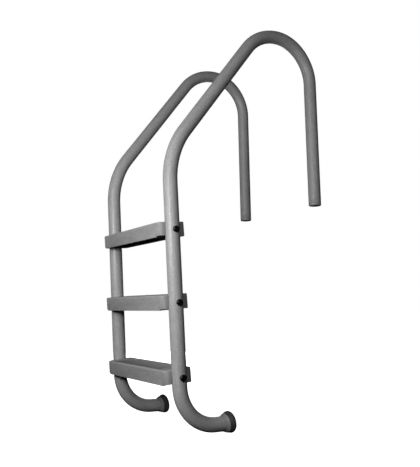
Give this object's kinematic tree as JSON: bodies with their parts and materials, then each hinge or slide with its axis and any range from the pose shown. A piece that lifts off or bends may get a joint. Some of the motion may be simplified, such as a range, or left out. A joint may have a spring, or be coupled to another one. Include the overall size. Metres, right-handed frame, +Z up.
{
  "type": "pool ladder",
  "caption": "In-ground pool ladder with two bent tube handrails, moulded treads bolted between them, flared wall bumpers and plugged deck legs.",
  "frame": {"origin": "midway between the lower ends of the two deck legs, at the level of their plugs' undersides", "axes": "+Z up, +Y from the water towards the deck, +X to the right of a bather who faces the deck"},
  "size_m": [0.5146, 0.7204, 1.4697],
  "materials": {
    "rail_polymer": "satin graphite grey",
    "tread_polymer": "matt graphite grey, fine moulded grain",
    "bumper_rubber": "matt graphite grey flare, near-black at the wall end",
    "plug_polymer": "satin graphite grey",
    "black_plastic": "semi-gloss black",
    "stainless": "bright stainless"
  },
  "bodies": {
    "root": {"left_rail": "rail_polymer", "left_leg_plug": "plug_polymer", "left_bumper": "bumper_rubber", "right_rail": "rail_polymer", "right_leg_plug": "plug_polymer", "right_bumper": "bumper_rubber", "top_tread": "tread_polymer", "top_left_bolt": "stainless", "top_left_saddle_washer": "black_plastic", "top_left_nut": "stainless", "top_left_bolt_cap": "black_plastic", "top_right_bolt": "stainless", "top_right_saddle_washer": "black_plastic", "top_right_nut": "stainless", "top_right_bolt_cap": "black_plastic", "middle_tread": "tread_polymer", "middle_left_bolt": "stainless", "middle_left_saddle_washer": "black_plastic", "middle_left_nut": "stainless", "middle_left_bolt_cap": "black_plastic", "middle_right_bolt": "stainless", "middle_right_saddle_washer": "black_plastic", "middle_right_nut": "stainless", "middle_right_bolt_cap": "black_plastic", "bottom_tread": "tread_polymer", "bottom_left_bolt": "stainless", "bottom_left_saddle_washer": "black_plastic", "bottom_left_nut": "stainless", "bottom_left_bolt_cap": "black_plastic", "bottom_right_bolt": "stainless", "bottom_right_saddle_washer": "black_plastic", "bottom_right_nut": "stainless", "bottom_right_bolt_cap": "black_plastic"}
  },
  "joints": []
}
